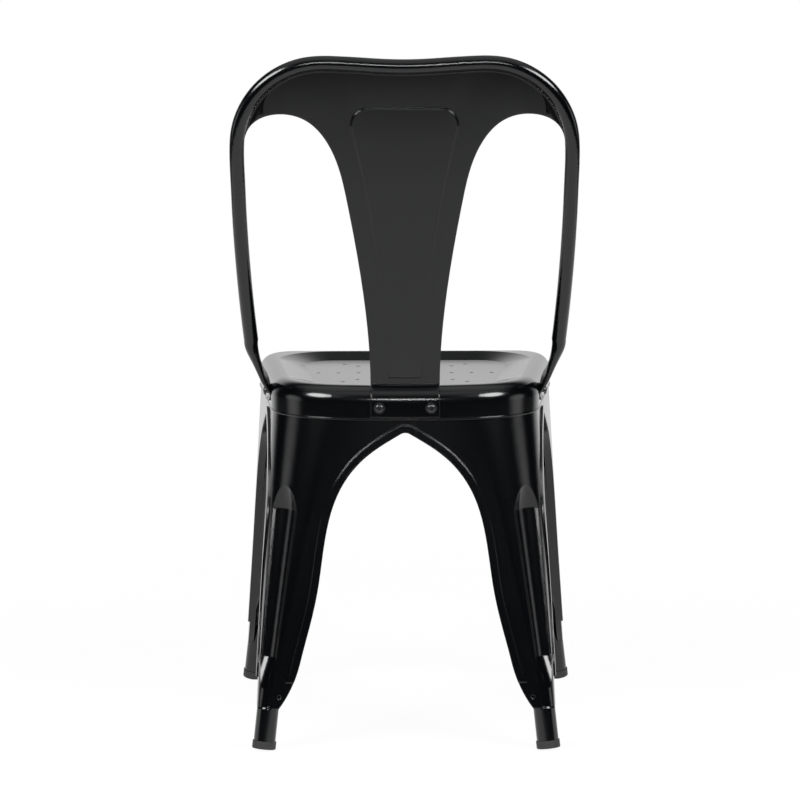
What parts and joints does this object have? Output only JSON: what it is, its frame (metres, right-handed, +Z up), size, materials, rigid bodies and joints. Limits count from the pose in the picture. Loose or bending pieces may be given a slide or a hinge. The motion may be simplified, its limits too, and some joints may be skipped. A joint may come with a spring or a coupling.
{
  "type": "metal bistro chair",
  "caption": "Stackable dining chair of pressed steel sheet with dished seat, four splayed legs with arched sides, tube hoop and splat back.",
  "frame": {"origin": "on the floor, under the middle of the chair's bounding box", "axes": "+Z up, +Y to the rear (the side of the back), +X to the sitter's left"},
  "size_m": [0.4324, 0.4279, 0.85],
  "materials": {
    "black_powder_coat": "satin gloss powder coat",
    "black_screw": "blackened steel",
    "zinc_nut": "zinc plated",
    "black_rubber": "matt"
  },
  "bodies": {
    "root": {"seat_pan": "black_powder_coat", "leg_rear_left": "black_powder_coat", "leg_rear_right": "black_powder_coat", "leg_front_left": "black_powder_coat", "leg_front_right": "black_powder_coat", "foot_cap_rear_left": "black_rubber", "foot_cap_rear_right": "black_rubber", "foot_cap_front_left": "black_rubber", "foot_cap_front_right": "black_rubber", "brace_upper": "black_powder_coat", "brace_lower": "black_powder_coat", "back_hoop": "black_powder_coat", "back_panel": "black_powder_coat", "back_washers": "black_screw", "back_screws": "black_screw", "back_nuts": "zinc_nut", "hoop_screws": "black_screw", "hoop_nuts": "zinc_nut"}
  },
  "joints": []
}
